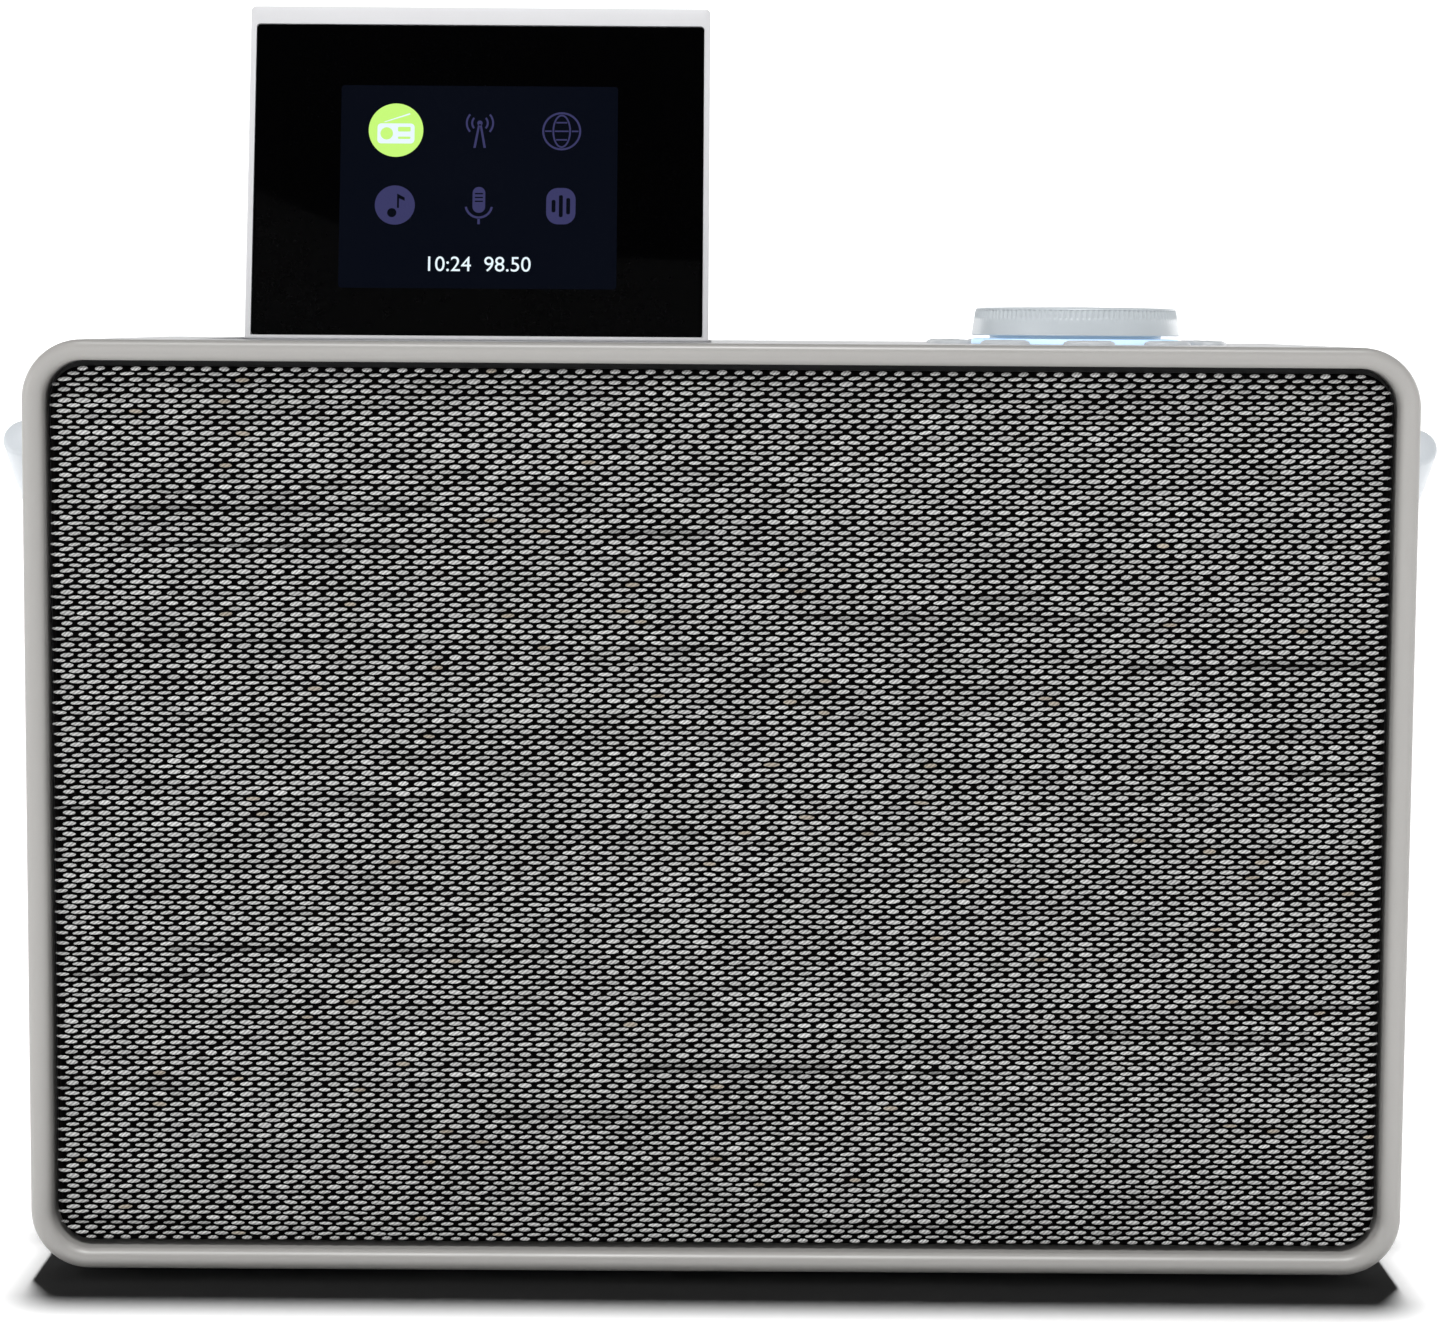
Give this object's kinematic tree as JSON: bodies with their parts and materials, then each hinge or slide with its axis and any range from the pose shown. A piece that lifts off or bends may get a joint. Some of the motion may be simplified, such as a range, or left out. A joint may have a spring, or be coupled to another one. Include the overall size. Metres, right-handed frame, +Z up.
{
  "type": "portable internet radio",
  "caption": "Portable radio speaker with a flip-up colour display, a control dial in a ring of push buttons, a cloth grille, a swinging carry handle and a telescopic aerial.",
  "frame": {"origin": "centre of the underside of the whole set's box, on the plane that the feet stand on", "axes": "+Z up, +X to the right of someone facing the cloth front, -Y out of the cloth front"},
  "size_m": [0.273, 0.154, 0.2389],
  "materials": {
    "rim_plastic": "satin pale grey, rounded",
    "shell_plastic": "fine satin texture",
    "button_plastic": "satin",
    "cloth": "open weave of light grey yarn over black",
    "black_plastic": "matte moulded",
    "pressed_steel": "plated",
    "magnet": "sintered, matte",
    "cone_paper": "pressed pulp, matte",
    "circuit_board": "solder mask",
    "light_ring": "translucent pale blue, lit",
    "battery_wrap": "shrink sleeve",
    "ribbon": "flat flexible cable",
    "rubber": "matte",
    "display_glass": "black, polished",
    "screen": "colour screen",
    "handle_metal": "satin",
    "knob_plastic": "satin, knurled band",
    "aerial_metal": "polished"
  },
  "bodies": {
    "enclosure": {"front_frame": "rim_plastic", "case_shell": "shell_plastic", "rear_cover": "shell_plastic", "grille_cloth": "cloth", "grille_frame": "black_plastic", "speaker_baffle": "black_plastic", "basket_left": "pressed_steel", "basket_right": "pressed_steel", "cone_left": "cone_paper", "cone_right": "cone_paper", "magnet_left": "magnet", "magnet_right": "magnet", "main_board": "circuit_board", "radio_module": "pressed_steel", "control_board": "circuit_board", "encoder_body": "pressed_steel", "light_ring": "light_ring", "battery_bay": "black_plastic", "battery_pack": "battery_wrap", "display_ribbon": "ribbon", "port_board": "circuit_board", "dc_jack": "black_plastic", "aux_jack": "black_plastic", "usb_port": "pressed_steel", "display_pin_left": "pressed_steel", "display_pin_right": "pressed_steel", "handle_pin_left": "pressed_steel", "handle_pin_right": "pressed_steel", "foot_1": "rubber", "foot_2": "rubber", "foot_3": "rubber", "foot_4": "rubber", "rear_screw_1": "pressed_steel", "rear_screw_2": "pressed_steel", "rear_screw_3": "pressed_steel", "rear_screw_4": "pressed_steel"},
    "display": {"display_bezel": "shell_plastic", "display_shell": "shell_plastic", "display_glass": "display_glass", "lcd_panel": "screen"},
    "handle": {"handle_bar": "handle_metal"},
    "dial_switch": {"switch_plunger": "black_plastic"},
    "dial": {"dial_shaft": "pressed_steel", "dial_knob": "knob_plastic"},
    "button_01": {"button_01": "button_plastic"},
    "button_02": {"button_02": "button_plastic"},
    "button_03": {"button_03": "button_plastic"},
    "button_04": {"button_04": "button_plastic"},
    "button_05": {"button_05": "button_plastic"},
    "button_06": {"button_06": "button_plastic"},
    "button_07": {"button_07": "button_plastic"},
    "button_08": {"button_08": "button_plastic"},
    "button_09": {"button_09": "button_plastic"},
    "button_10": {"button_10": "button_plastic"},
    "battery_cover": {"battery_door": "shell_plastic"},
    "aerial_base": {"aerial_swivel": "black_plastic", "aerial_pin": "pressed_steel"},
    "aerial_arm": {"aerial_tube": "aerial_metal"},
    "aerial_stage_2": {"aerial_middle": "aerial_metal"},
    "aerial_stage_3": {"aerial_tip": "aerial_metal"}
  },
  "joints": [
    {"name": "display_tilt", "type": "hinge", "parent": "enclosure", "child": "display", "pos_m": [-0.0498, 0.01903, 0.167], "axis": [1, 0, 0], "range_deg": [0, 100]},
    {"name": "handle_swing", "type": "hinge", "parent": "enclosure", "child": "handle", "pos_m": [0, -0.02697, 0.147], "axis": [1, 0, 0], "range_deg": [0, 123]},
    {"name": "dial_press", "type": "slide", "parent": "enclosure", "child": "dial_switch", "axis": [0, 0, -1], "range_m": [0, 0.0004], "stiffness_N_per_m": 2500, "springref_m": -0.0004},
    {"name": "dial_spin", "type": "hinge", "parent": "dial_switch", "child": "dial", "pos_m": [0.0684, -0.02197, 0.171], "axis": [0, 0, 1], "continuous": true},
    {"name": "button_01_press", "type": "slide", "parent": "enclosure", "child": "button_01", "axis": [0, 0, -1], "range_m": [0, 0.0004], "stiffness_N_per_m": 800, "springref_m": -0.0004},
    {"name": "button_02_press", "type": "slide", "parent": "enclosure", "child": "button_02", "axis": [0, 0, -1], "range_m": [0, 0.0004], "stiffness_N_per_m": 800, "springref_m": -0.0004},
    {"name": "button_03_press", "type": "slide", "parent": "enclosure", "child": "button_03", "axis": [0, 0, -1], "range_m": [0, 0.0004], "stiffness_N_per_m": 800, "springref_m": -0.0004},
    {"name": "button_04_press", "type": "slide", "parent": "enclosure", "child": "button_04", "axis": [0, 0, -1], "range_m": [0, 0.0004], "stiffness_N_per_m": 800, "springref_m": -0.0004},
    {"name": "button_05_press", "type": "slide", "parent": "enclosure", "child": "button_05", "axis": [0, 0, -1], "range_m": [0, 0.0004], "stiffness_N_per_m": 800, "springref_m": -0.0004},
    {"name": "button_06_press", "type": "slide", "parent": "enclosure", "child": "button_06", "axis": [0, 0, -1], "range_m": [0, 0.0004], "stiffness_N_per_m": 800, "springref_m": -0.0004},
    {"name": "button_07_press", "type": "slide", "parent": "enclosure", "child": "button_07", "axis": [0, 0, -1], "range_m": [0, 0.0004], "stiffness_N_per_m": 800, "springref_m": -0.0004},
    {"name": "button_08_press", "type": "slide", "parent": "enclosure", "child": "button_08", "axis": [0, 0, -1], "range_m": [0, 0.0004], "stiffness_N_per_m": 800, "springref_m": -0.0004},
    {"name": "button_09_press", "type": "slide", "parent": "enclosure", "child": "button_09", "axis": [0, 0, -1], "range_m": [0, 0.0004], "stiffness_N_per_m": 800, "springref_m": -0.0004},
    {"name": "button_10_press", "type": "slide", "parent": "enclosure", "child": "button_10", "axis": [0, 0, -1], "range_m": [0, 0.0004], "stiffness_N_per_m": 800, "springref_m": -0.0004},
    {"name": "battery_door_pull", "type": "slide", "parent": "enclosure", "child": "battery_cover", "axis": [0, 1, 0], "range_m": [0, 0.03]},
    {"name": "aerial_swivel_turn", "type": "hinge", "parent": "enclosure", "child": "aerial_base", "pos_m": [0.108, 0.03478, 0.1659], "axis": [0, 1, 0], "range_deg": [0, 90]},
    {"name": "aerial_tilt", "type": "hinge", "parent": "aerial_base", "child": "aerial_arm", "pos_m": [0.108, 0.03478, 0.1659], "axis": [0, 0, -1], "range_deg": [0, 90]},
    {"name": "aerial_draw_1", "type": "slide", "parent": "aerial_arm", "child": "aerial_stage_2", "axis": [-1, 0, 0], "range_m": [0, 0.075]},
    {"name": "aerial_draw_2", "type": "slide", "parent": "aerial_stage_2", "child": "aerial_stage_3", "axis": [-1, 0, 0], "range_m": [0, 0.075]}
  ]
}
